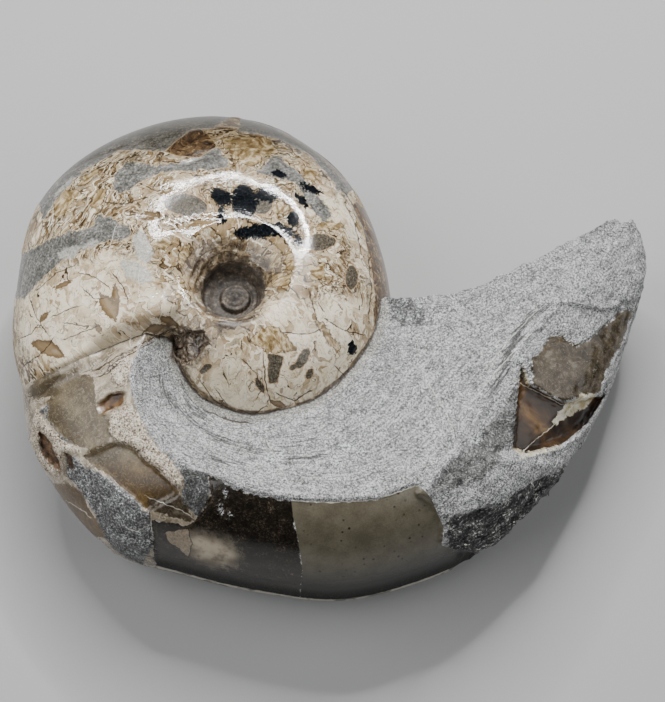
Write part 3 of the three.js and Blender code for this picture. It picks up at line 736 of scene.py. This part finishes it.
class Paint:
    """A node material built up in layers; most calls add nodes and return a Signal."""

    def __init__(self, name):
        self.material = bpy.data.materials.new(name)
        self.material.use_nodes = True
        self.tree = self.material.node_tree
        self.shader = self.tree.nodes["Principled BSDF"]
        self.colour, self.roughness = WHITE, 0.5
        self.mm = self.vector("SCALE", self.node("TexCoord", {}, "Object"), scale=1000)

    def plug(self, socket, value):
        if isinstance(value, Signal):
            self.tree.links.new(value.socket, socket)
        else:
            socket.default_value = value

    def node(self, kind, inputs, output=0, **settings):
        node = self.tree.nodes.new("ShaderNode" + kind)
        for key, value in settings.items():
            setattr(node, key, value)
        for key, value in inputs.items():
            self.plug(node.inputs[key], value)
        return Signal(self, node.outputs[output])

    def vector(self, operation, a, b=None, scale=None):
        inputs = {0: a, 1: b, "Scale": scale}
        inputs = {key: value for key, value in inputs.items() if value is not None}
        return self.node("VectorMath", inputs, operation=operation)

    def stretched(self, at, x, y):
        return self.vector("MULTIPLY", at, (x, y, 1))

    def math(self, operation, *values):
        return self.node("Math", dict(enumerate(values)), operation=operation)

    def value(self, name):
        return self.node("Attribute", {}, "Fac", attribute_name=name)

    def split(self, vector):
        outputs = self.node("SeparateXYZ", {"Vector": vector}).socket.node.outputs
        return [Signal(self, socket) for socket in outputs]

    def place(self, name):
        return self.node("Attribute", {}, "Vector", attribute_name=name)

    def noise(self, at, scale, detail=3.0, rough=0.55, bend=0.0, output="Fac"):
        inputs = {"Vector": at, "Scale": scale, "Detail": detail, "Roughness": rough, "Distortion": bend}
        return self.node("TexNoise", inputs, output)

    def cells(self, at, scale=1.0, output="Color"):
        return self.node("TexVoronoi", {"Vector": at, "Scale": scale}, output)

    def ease(self, value, low, high, start=0.0, end=1.0):
        """start below low, end above high, smooth between; low may be the greater."""
        inputs = {"Value": value, "From Min": low, "From Max": high, "To Min": start, "To Max": end}
        return self.node("MapRange", inputs, interpolation_type="SMOOTHSTEP")

    def near(self, value, centre, wide, narrow, start=0.0, end=1.0):
        """end within narrow of the centre, start farther from it than wide."""
        return self.ease(self.math("ABSOLUTE", value - centre), wide, narrow, start, end)

    def sharpen(self, value, spread):
        """Stretches the middle of a noise, 0.5 - spread to 0.5 + spread, over 0 to 1."""
        return self.node("MapRange", {"Value": value, "From Min": 0.5 - spread, "From Max": 0.5 + spread})

    def mix(self, share, a, b):
        """A colour between a and b."""
        a, b = (value if isinstance(value, Signal) else (*value, 1) for value in (a, b))
        return self.node("Mix", {0: share, 6: a, 7: b}, 2, data_type="RGBA")

    def blend(self, share, a, b):
        """A number between a and b."""
        return self.node("Mix", {0: share, 2: a, 3: b}, data_type="FLOAT")

    def ramp(self, value, *stops):
        """A colour for a number; each stop is its position, red, green and blue."""
        tone = self.node("ValToRGB", {"Fac": value})
        elements = tone.socket.node.color_ramp.elements
        while len(elements) < len(stops):
            elements.new(0.5)
        for element, (position, *colour) in zip(elements, stops):
            element.position = position
            element.color = (*colour, 1)
        return tone

    def inside(self, name, soft=0.25, wander=None, push=0.0):
        """1 inside a kind of marking, 0 outside; wander is a noise that makes its edge uneven."""
        distance = self.value(name)
        if wander is not None:
            distance = distance + wander
        return self.ease(distance, soft + push, -soft + push)

    def coat(self, share, colour, roughness=None):
        """Lays a colour over the last, and a roughness too if one is given."""
        self.colour = self.mix(share, self.colour, colour)
        if roughness is not None:
            self.roughness = self.blend(share, self.roughness, roughness)

    def mark(self, name, colour, roughness, wander, rim):
        """Lays a marking with a fine line round it."""
        self.coat(self.inside(name, 0.12, wander, 0.22), rim)
        self.coat(self.inside(name, 0.12, wander), colour, roughness)

    def shade(self, share, factor):
        self.colour = self.mix(share, self.colour, self.vector("MULTIPLY", self.colour, factor))

    def shards(self, at, scales):
        """Broken pieces: a tone, a second number, and the step of tone at their edges."""
        spot = self.vector("MULTIPLY", at, scales)
        beside = self.vector("ADD", spot, (0.4 * scales[0], 0.44 * scales[1], 0))
        tone, kind, _ = self.split(self.cells(spot))
        return tone, kind, tone - self.split(self.cells(beside))[0]

    def outline(self, step, strength):
        """Darkens one side of every broken piece and lightens the other: partly their own dark and white
        edges, partly painted shade and highlight of their relief.
        """
        self.coat(self.ease(step, 0.05, 0.3) * strength, UMBER)
        self.coat(self.ease(step, -0.12, -0.4, 0.0, 0.9) * strength, WHITE)


class StonePaint(Paint):
    """The stone's paint, with the places and noises that its parts share."""

    def __init__(self):
        super().__init__("stone")
        self.on_coil = self.value("on_coil")
        self.flow = self.place("flow")  # along and across the coil or the whorl, in millimetres
        self.across = self.split(self.flow)[1]
        self.eastward, self.northward, self.height = self.split(self.mm)
        self.seam = self.value("seam")
        self.grain = self.noise(self.mm, 1.45, 2.0, 0.6)
        self.fine = self.noise(self.mm, 3.2, 1.5, 0.6)
        self.salt = self.sharpen(self.blend(0.5, self.grain, self.fine), 0.13)
        self.patchy = self.noise(self.mm, 0.13, 3)
        self.blotch = self.noise(self.mm, 0.3, 4, 0.6)
        self.strokes = self.noise(self.stretched(self.flow, 0.1, 1.6), 1.0, 4, 0.7, 0.4)
        self.wisps = self.noise(self.mm, 0.3, 4, 0.6, 2.0)
        # for uneven edges, in millimetres
        self.edge = (self.noise(self.mm, 0.5, 4, 0.62) - 0.5) * 4.0
        self.small_edge = self.edge * 0.4
        self.soft_edge = (self.noise(self.mm, 0.2, 3) - 0.5) * 6.0

        bend, ripple = (
            self.vector("SUBTRACT", self.noise(self.flow, scale, 2, 0.5, output="Color"), (0.5, 0.5, 0.5))
            for scale in (0.11, 0.5)
        )
        sway = self.vector("SCALE", bend, scale=14.0)
        sway = self.vector("ADD", sway, self.vector("SCALE", ripple, scale=2.4))
        self.bent = self.vector("ADD", self.flow, sway)
        self.streaky = self.noise(self.stretched(self.bent, 0.3, 1), 0.5, 4, 0.6)
        self.round_navel = self.vector("ADD", self.mm, self.vector("SCALE", bend, scale=5.0))


def shell(k):
    """Shattered plates of polished calcite, longer along the coil than across it."""
    plate_tone, plate_kind, plate_step = k.shards(k.bent, (0.085, 0.15, 1))
    flake_tone, _, flake_step = k.shards(k.bent, (0.21, 0.46, 1))
    chip_step = k.shards(k.bent, (0.5, 0.95, 1))[2]
    # round the navel the pieces don't follow the coil
    outer = k.ease(k.across, 31, 29)
    inner_tone, _, inner_step = k.shards(k.round_navel, (0.38, 0.38, 0.38))
    flake_tone = k.blend(outer, flake_tone, inner_tone)
    flake_step, chip_step = (k.blend(outer, step, inner_step) for step in (flake_step, chip_step))
    contour = k.math("FRACT", k.noise(k.stretched(k.bent, 0.8, 1.4), 0.12, 2, 0.5, 0.9) * 7.0)
    whole = k.ease(k.value("clean") + k.soft_edge, 3.0, -3.0)  # 1 on the clean cream flank
    shattered = k.math("SUBTRACT", 1.0, whole * 0.8)

    k.colour = k.ramp(
        k.blend(0.22, flake_tone, k.streaky),
        (0.12, 0.11, 0.085, 0.06), (0.2, 0.21, 0.16, 0.105), (0.3, 0.33, 0.25, 0.15),
        (0.42, 0.42, 0.34, 0.235), (0.55, 0.51, 0.43, 0.315), (0.68, 0.64, 0.555, 0.42),
        (0.78, 0.36, 0.335, 0.28), (0.88, 0.9, 0.85, 0.73))
    plates = k.ramp(
        k.blend(0.4, plate_tone, k.streaky),
        (0.15, 0.27, 0.205, 0.13), (0.32, 0.42, 0.33, 0.215), (0.5, 0.58, 0.49, 0.36),
        (0.65, 0.74, 0.66, 0.53), (0.8, 0.38, 0.36, 0.31))
    k.coat(k.ease(plate_kind, 0.62, 0.66, 0.0, 0.85), plates)
    k.coat(k.ease(k.noise(k.bent, 0.12, 3, 0.6, 1.0), 0.54, 0.62, 0.0, 0.5), (0.36, 0.27, 0.16))
    clean = k.ramp(
        k.blend(0.4, k.noise(k.bent, 0.09, 4, 0.6, 0.6), plate_tone),
        (0.22, 0.42, 0.345, 0.25), (0.36, 0.66, 0.575, 0.45), (0.48, 0.9, 0.845, 0.73),
        (0.75, 0.97, 0.94, 0.87))
    k.coat(whole * 0.88, clean)
    # duller where it turns away from the drawing plane, and where the polish is worn
    facing = k.split(k.place("vein"))[2]
    k.roughness = k.ease(k.noise(k.mm, 0.4, 3), 0.3, 0.7, 0.05, 0.1)
    k.roughness = k.roughness + k.ease(facing, 0.6, 0.25, 0.0, 0.6) * k.ease(facing, -0.3, 0.05)
    k.roughness = k.roughness + k.inside("c_dull", 2.0, k.edge) * 0.3
    # painted shade and highlight on opposite sides of the broken pieces, over their own dark and white edges
    k.outline(plate_step, 1.0)
    contour = k.near(contour, 0.5, 0.09, 0.02) * k.ease(k.noise(k.mm, 0.3, 2), 0.44, 0.54, 0.0, 0.75)
    k.coat(contour, (0.3, 0.225, 0.15))
    k.outline(flake_step, shattered)
    k.outline(chip_step, shattered * k.ease(k.patchy, 0.42, 0.58, 0.2, 0.9))
    return plate_tone


def shell_markings(k):
    stony = k.ramp(
        k.sharpen(k.blend(0.5, k.noise(k.bent, 0.35, 5, 0.7), k.grain), 0.14),
        (0, 0.08, 0.085, 0.085), (0.35, 0.17, 0.175, 0.175), (0.7, 0.29, 0.295, 0.3), (1, 0.5, 0.51, 0.52))
    k.mark("c_grey", stony, 0.26, k.edge, rim=(0.6, 0.54, 0.44))
    pale = k.ramp(k.salt, (0, 0.34, 0.36, 0.36), (1, 0.68, 0.7, 0.7))
    k.coat(k.inside("c_pale", 0.5, k.edge) * 0.8, pale, 0.2)
    tan = k.ramp(
        k.noise(k.bent, 0.4, 4, 0.6),
        (0.38, 0.24, 0.18, 0.1), (0.5, 0.45, 0.37, 0.24), (0.6, 0.72, 0.64, 0.5))
    k.mark("c_tan", tan, 0.12, k.edge, rim=UMBER)
    petal = k.ramp(
        k.ease(k.value("c_leaf") + k.edge * 0.6, -1.2, 0.3),
        (0, 0.37, 0.295, 0.2), (0.4, 0.285, 0.22, 0.145), (0.8, 0.23, 0.175, 0.115), (1, 0.12, 0.09, 0.065))
    k.coat(k.inside("c_leaf", 0.12, k.edge * 0.7), petal, 0.12)
    brown = k.ramp(
        k.noise(k.bent, 0.45, 5, 0.65, 0.8),
        (0.36, 0.06, 0.042, 0.028), (0.48, 0.16, 0.11, 0.07), (0.58, 0.28, 0.205, 0.125),
        (0.68, 0.6, 0.5, 0.35))
    k.mark("c_brown", brown, 0.2, k.small_edge, rim=(0.55, 0.47, 0.35))
    smoky = k.ramp(k.salt, (0, 0.07, 0.065, 0.055), (0.5, 0.15, 0.14, 0.12), (1, 0.28, 0.26, 0.225))
    k.mark("c_smoky", smoky, 0.14, k.small_edge, rim=SAND)
    ragged = (k.noise(k.stretched(k.bent, 0.5, 1.2), 0.6, 4, 0.7) - 0.5) * 5.0
    black = k.ramp(k.salt, (0.3, 0.004, 0.006, 0.009), (1, 0.035, 0.045, 0.06))
    k.coat(k.inside("c_black", 0.2, ragged, 0.5), black, 0.08)


def shell_stains_and_shade(k):
    """Brown folds round the navel, with painted shade on its shoulder, and by the hollow under the lip; the
    navel darker, partly painted shade; a brown foot; and painted shade on the far flank.
    """
    folds = k.noise(k.stretched(k.flow, 0.14, 1), 0.45, 4, 0.65, 0.6)
    stain_and_shade_colour = k.ramp(
        k.sharpen(k.blend(0.3, folds, k.grain), 0.14),
        (0, 0.04, 0.031, 0.025), (0.4, 0.135, 0.107, 0.084), (0.75, 0.29, 0.245, 0.195),
        (1, 0.58, 0.53, 0.45))
    # stain with painted shade: brown folds over the navel's shoulder, and beside the hollow under the lip
    k.coat(k.inside("c_stain_and_shade", 2.5, k.edge * 1.5) * k.ease(folds, 0.62, 0.46, 0.3, 0.92), stain_and_shade_colour)
    deep = k.ramp(
        k.sharpen(k.blend(0.4, k.noise(k.mm, 0.45, 4, 0.62, 0.6), k.grain), 0.14),
        (0, 0.04, 0.032, 0.027), (0.4, 0.09, 0.075, 0.063), (0.75, 0.155, 0.133, 0.113),
        (1, 0.3, 0.27, 0.235))
    # the navel's wall and floor darker: partly their own brown-grey, partly painted shade of the hollow
    k.coat(k.ease(k.across + k.edge, 14.5, 12.5) * k.on_coil, deep, 0.6)
    # the foot's stain is widest beside the hollow under the lip
    width = k.ease(k.eastward, -46, -18, 3.8, 1.1)
    foot = k.ease(k.seam + k.soft_edge * 0.4, width, width * 0.5) * k.ease(k.eastward, -49, -46, 0.0, 0.85)
    k.coat(foot, k.ramp(
        k.sharpen(k.streaky, 0.16),
        (0, 0.045, 0.032, 0.023), (0.5, 0.15, 0.11, 0.075), (0.8, 0.34, 0.27, 0.19), (1, 0.55, 0.47, 0.36)))
    k.shade(1.0, (1, 0.955, 0.87))
    # painted shade: darker over the far flank of the coil, which slopes away
    k.shade(k.ease(k.northward + k.soft_edge * 3.0, 40, 66), (0.38, 0.35, 0.3))


def limestone(k):
    """The last whorl, tooled in fine strokes along it."""
    tone = k.blend(0.37, k.blend(0.6, k.grain, k.fine), k.blend(0.3, k.strokes, k.blotch))
    k.colour = k.ramp(
        k.sharpen(tone, 0.058),
        (0, 0.12, 0.122, 0.12), (0.3, 0.32, 0.326, 0.32), (0.6, 0.45, 0.456, 0.45), (1, 0.84, 0.85, 0.84))
    k.roughness = 0.78
    by_coil = k.ease(k.seam, 16.0, 3.0)
    k.coat(k.ease(k.strokes, 0.53, 0.62) * (by_coil * 0.5 + 0.2), (0.11, 0.113, 0.115))
    k.coat(k.ease(k.strokes, 0.42, 0.34, 0.0, 0.45), (0.74, 0.76, 0.75))
    broad = k.noise(k.stretched(k.flow, 0.03, 0.3), 1.0, 3, 0.5, 0.8)
    k.coat(k.ease(broad, 0.57, 0.7, 0.0, 0.35), (0.2, 0.205, 0.2))
    k.coat(k.ease(k.seam, 4.0, 2.0, 0.0, 0.4), k.ramp(k.salt, (0, 0.3, 0.28, 0.24), (1, 0.66, 0.63, 0.55)))
    layers = k.inside("w_line", 0.3, (k.strokes - 0.47) * 9.0)
    k.coat(layers, k.ramp(k.salt, (0, 0.05, 0.05, 0.05), (1, 0.26, 0.26, 0.255)))
    fresh = k.ramp(
        k.salt,
        (0, 0.06, 0.06, 0.06), (0.5, 0.18, 0.18, 0.175), (0.85, 0.36, 0.36, 0.35), (1, 0.6, 0.6, 0.6))
    k.coat(k.inside("w_fresh", 0.8, k.edge * 1.5) * k.ease(k.blotch, 0.38, 0.5, 0.6, 1.0), fresh, 0.7)
    soot = k.inside("w_soot", 0.8, k.edge * 1.5)
    k.coat(soot, k.ramp(
        k.sharpen(k.blend(0.5, k.strokes, k.grain), 0.13),
        (0, 0.015, 0.015, 0.015), (0.45, 0.05, 0.05, 0.05), (0.75, 0.17, 0.17, 0.168),
        (1, 0.56, 0.56, 0.55)), 0.7)
    k.shade(soot * k.ease(k.blotch, 0.5, 0.56), (2.6, 2.6, 2.5))


def lower_left(k):
    """Brown and grey calcite in panes, with cream crust and dark gravel between."""
    polished = k.inside("w_polished", 0.3, k.edge)
    k.coat(polished, k.ramp(
        k.noise(k.mm, 0.16, 5, 0.62, 0.8),
        (0.34, 0.15, 0.12, 0.085), (0.47, 0.3, 0.255, 0.19), (0.58, 0.46, 0.4, 0.31),
        (0.7, 0.66, 0.6, 0.49)), 0.22)
    k.coat(polished * k.near(k.wisps, 0.52, 0.03, 0.005, 0.0, 0.8), (0.7, 0.64, 0.54))
    panes = k.ramp(
        k.blend(0.16, k.noise(k.mm, 0.15, 4, 0.5), k.salt),
        (0.35, 0.12, 0.093, 0.054), (0.5, 0.175, 0.14, 0.086), (0.68, 0.3, 0.25, 0.165))
    panes = k.mix(k.near(k.wisps, 0.46, 0.02, 0.003, 0.0, 0.6), panes, (0.5, 0.44, 0.34))
    k.mark("w_pane", panes, 0.3, k.edge * 0.7, rim=(0.2, 0.165, 0.12))
    k.shade(k.inside("w_pane", 0.3) * k.ease(k.northward, -42, -50), (0.82, 0.68, 0.45))
    gravel = k.inside("w_rough", 0.3, k.edge)
    k.coat(gravel, k.ramp(
        k.salt, (0, 0.035, 0.035, 0.034), (0.5, 0.14, 0.142, 0.138), (1, 0.5, 0.505, 0.5)), 0.6)
    k.shade(gravel * k.ease(k.blotch, 0.47, 0.58), (1.7, 1.72, 1.75))
    k.shade(gravel * k.near(k.eastward, -39, 8, 5), (0.5, 0.5, 0.49))
    crust = k.ramp(
        k.sharpen(k.blend(0.5, k.salt, k.noise(k.mm, 0.5, 4, 0.65)), 0.2),
        (0, 0.12, 0.085, 0.06), (0.3, 0.42, 0.345, 0.26), (0.8, 0.84, 0.78, 0.67))
    k.coat(k.inside("w_crust", 0.3, k.edge), crust, 0.55)


def outer_band(k):
    """Polished black calcite, then an olive pane with small pits, both with painted shade low down."""
    black = k.inside("w_black", 0.2, k.edge)
    k.coat(black, k.ramp(
        k.blend(0.3, k.noise(k.mm, 0.3, 5, 0.7), k.salt),
        (0.3, 0.012, 0.01, 0.007), (0.55, 0.045, 0.037, 0.028), (0.66, 0.1, 0.078, 0.055),
        (0.8, 0.27, 0.25, 0.22)), 0.18)
    cream = k.ramp(k.noise(k.mm, 0.25, 4), (0.35, 0.22, 0.18, 0.13), (0.6, 0.55, 0.49, 0.38))
    k.coat(k.inside("w_cream", 2.8, k.edge * 2.0), cream, 0.22)
    chip = k.ramp(k.grain, (0.3, 0.24, 0.19, 0.14), (0.7, 0.46, 0.39, 0.3))
    k.mark("w_chip", chip, 0.3, k.small_edge, rim=INK)
    pits = k.ease(k.cells(k.mm, 0.42, "Distance"), 0.22, 0.1) * k.ease(k.patchy, 0.45, 0.6)
    olive = k.ramp(
        k.blend(0.16, k.noise(k.mm, 0.2, 4), k.salt), (0.35, 0.165, 0.148, 0.11), (0.65, 0.235, 0.215, 0.165))
    # painted shade: the olive pane darkens towards the bottom
    olive = k.mix(k.ease(k.height, 45, 30), olive, (0.03, 0.029, 0.022))
    olive = k.mix(pits * 0.8, olive, (0.02, 0.015, 0.01))
    k.coat(k.inside("w_olive", 0.12, k.edge * 0.2), olive, 0.26)
    k.coat(k.inside("w_snow", 0.7, k.edge * 1.4) * k.ease(k.salt, 0.45, 0.6), (0.86, 0.88, 0.89), 0.5)
    # painted shade: low down it's nearly black, and dull, with a thin pale rim of shell
    low = k.math("MAXIMUM", k.inside("w_olive", 0.2), black) * k.ease(k.height, 34, 21)
    k.coat(low, k.ramp(
        k.salt, (0.2, 0.006, 0.006, 0.005), (0.8, 0.025, 0.023, 0.02), (1, 0.16, 0.15, 0.135)), 1.0)
    rim = k.near(k.height + k.small_edge, 15.8, 1.9, 1.2) * k.ease(k.patchy, 0.42, 0.5, 0.4, 0.9)
    k.coat(low * rim, (0.66, 0.62, 0.55), 0.5)


def fillings(k):
    """Smoky, amber and ivory calcite in the whorl's hollows, and painted shade in the groove by the coil."""
    smoky = k.inside("w_smoky", 0.25, k.edge)
    k.coat(smoky, k.ramp(
        k.noise(k.mm, 0.3, 5, 0.65),
        (0.35, 0.055, 0.043, 0.027), (0.55, 0.125, 0.1, 0.068), (0.7, 0.24, 0.215, 0.17)), 0.2)
    k.coat(smoky * k.near(k.wisps, 0.5, 0.012, 0.002, 0.0, 0.5), (0.45, 0.42, 0.36))
    amber = k.ramp(
        k.noise(k.mm, 0.11, 4, 0.55, 0.5),
        (0.38, 0.03, 0.018, 0.011), (0.5, 0.07, 0.044, 0.026), (0.6, 0.12, 0.072, 0.034),
        (0.7, 0.26, 0.165, 0.072))
    k.coat(k.inside("w_amber", 0.15), amber, 0.28)
    honey = k.ramp(k.noise(k.mm, 0.3, 3), (0.4, 0.07, 0.04, 0.022), (0.6, 0.26, 0.16, 0.08))
    k.coat(k.inside("w_honey", 0.3, k.small_edge), honey, 0.4)
    ivory = k.ramp(k.noise(k.mm, 0.4, 3), (0.35, 0.5, 0.42, 0.24), (0.6, 0.85, 0.82, 0.7))
    k.coat(k.inside("w_ivory", 0.3, k.edge), ivory, 0.25)
    # painted shade: a dark line in the crease along the foot of the coil
    groove_shade = k.ease(k.seam + k.edge * 0.3, 0.9, 0.3, 0.0, 0.8)
    k.coat(groove_shade * k.ease(k.eastward, -76, -66), (0.07, 0.06, 0.05))


def fine_lines(k):
    """Cracks and veins, over everything."""
    for name, colour, width, strength in (("crack", UMBER, 0.24, 0.95), ("vein", WHITE, 0.16, 0.6)):
        distance, side, _ = k.split(k.place(name))
        side = side + (k.noise(k.mm, 0.5, 2) - 0.5) * 1.2
        line = k.ease(k.math("ABSOLUTE", side), width, width * 0.4) * k.ease(distance, 1.6, 1.0)
        k.coat(line * k.ease(k.noise(k.mm, 0.6, 2), 0.25, 0.5, 0.3, strength), colour)


def stone_paint():
    k = StonePaint()
    plate_tone = shell(k)
    shell_markings(k)
    shell_stains_and_shade(k)
    on_shell = k.colour, k.roughness
    limestone(k)
    lower_left(k)
    outer_band(k)
    fillings(k)
    k.colour = k.mix(k.on_coil, k.colour, on_shell[0])
    k.roughness = k.blend(k.on_coil, k.roughness, on_shell[1])
    gnarled = k.ramp(
        k.noise(k.mm, 0.28, 4, 0.62, 2.4),
        (0.36, 0.05, 0.037, 0.028), (0.46, 0.16, 0.125, 0.095), (0.55, 0.34, 0.28, 0.22),
        (0.64, 0.7, 0.63, 0.53))
    k.coat(k.inside("pit", 1.4, k.edge * 1.3) * 0.9, gnarled, 0.22)
    fine_lines(k)

    # fine relief: grain where it is matte, joints and folds where it is polished
    relief = (k.strokes * 0.6 + (k.grain + k.fine * 0.5)) * k.value("matte")
    relief = relief + plate_tone * (k.on_coil * 0.16) + k.noise(k.mm, 0.9, 2) * 0.045
    bump = k.node("Bump", {"Strength": 1.0, "Distance": BUMP_METRES, "Height": relief})
    colour = k.node("Gamma", {"Color": k.colour, "Gamma": CONTRAST})
    finish = {"Base Color": colour, "Roughness": k.roughness, "Normal": bump, "IOR": STONE_IOR}
    for name, value in finish.items():
        k.plug(k.shader.inputs[name], value)
    return k.material


mesh.materials.clear()
mesh.materials.append(stone_paint())
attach(stone, "root")
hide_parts(NODE)

# ---- Floor, lights and camera ----

VIEW_RISE = math.radians(66)
VIEW_DISTANCE = 550.0
VIEW_TARGET = Vector((0.15, -7.9, 43.8))
PIXELS_WIDE, PIXELS_PER_MM = 665, 3.33
RING_LAMPS, RING_POWER, RING_LAMP_SIZE = 32, 14.0, 0.035
RING_AWAY, RING_ACROSS, RING_UP = 0.9, 0.27, 0.17  # metres
FILL_POWER, FILL_SIZE = 6.0, 1.2
FLOOR_HALF, FLOOR_DROP, FLOOR_GREY = 3.0, 0.0002, 0.42
SKY, SKY_STRENGTH = (0.8, 0.85, 0.9, 1), 0.05


def floor():
    mesh = bpy.data.meshes.new("floor")
    s = FLOOR_HALF
    mesh.from_pydata([(-s, -s, 0), (s, -s, 0), (s, s, 0), (-s, s, 0)], [], [(0, 1, 2, 3)])
    obj = link(bpy.data.objects.new("floor", mesh))
    obj.location.z = CAD_BOX[0][2] - FLOOR_DROP
    paint = bpy.data.materials.new("floor")
    paint.use_nodes = True
    shader = paint.node_tree.nodes["Principled BSDF"]
    shader.inputs["Base Color"].default_value = (FLOOR_GREY, FLOOR_GREY, FLOOR_GREY, 1)
    shader.inputs["Roughness"].default_value = 0.8
    mesh.materials.append(paint)
    obj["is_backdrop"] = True


def lamp(name, place, aim, size, power):
    data = bpy.data.lights.new(name, "AREA")
    data.shape = "DISK"
    data.energy = power
    data.size = size
    obj = link(bpy.data.objects.new(name, data))
    obj.location = place
    obj.rotation_euler = (aim - place).to_track_quat("-Z", "Y").to_euler()


def ring_light():
    """A hoop of small lamps behind and above the stone, aimed at the top of the coil."""
    aim = Vector((-0.029, 0.03, 0.06))
    away = Vector((-0.01, 0.616, 0.788)).normalized()
    across = away.cross(Vector((0, 0, 1))).normalized()
    up = across.cross(away)
    for step in range(RING_LAMPS):
        turn = 2 * math.pi * step / RING_LAMPS
        place = aim + away * RING_AWAY + across * RING_ACROSS * math.cos(turn) + up * RING_UP * math.sin(turn)
        lamp(f"ring {step}", place, aim, RING_LAMP_SIZE, RING_POWER / RING_LAMPS * (1 + 0.5 * math.cos(turn)))


def camera():
    data = bpy.data.cameras.new("camera")
    data.sensor_fit = "HORIZONTAL"
    data.lens = data.sensor_width * VIEW_DISTANCE * PIXELS_PER_MM / PIXELS_WIDE
    cam = link(bpy.data.objects.new("camera", data))
    back = Vector((0, -math.cos(VIEW_RISE), math.sin(VIEW_RISE)))
    cam.location = (VIEW_TARGET + back * VIEW_DISTANCE) * MM
    cam.rotation_euler = (-back).to_track_quat("-Z", "Y").to_euler()
    data.clip_start, data.clip_end = 0.01, 20
    bpy.context.scene.camera = cam


floor()
ring_light()
for name, side, strength in (("left fill", -1, 1.5), ("right fill", 1, 0.85)):
    place, aim = Vector((0.8 * side, -0.12, 0.85)), Vector((0.02 * side, 0, 0.03))
    lamp(name, place, aim, FILL_SIZE, strength * FILL_POWER)
camera()
world = bpy.data.worlds.new("world")
world.use_nodes = True
world.node_tree.nodes["Background"].inputs["Color"].default_value = SKY
world.node_tree.nodes["Background"].inputs["Strength"].default_value = SKY_STRENGTH
bpy.context.scene.world = world

low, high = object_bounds()
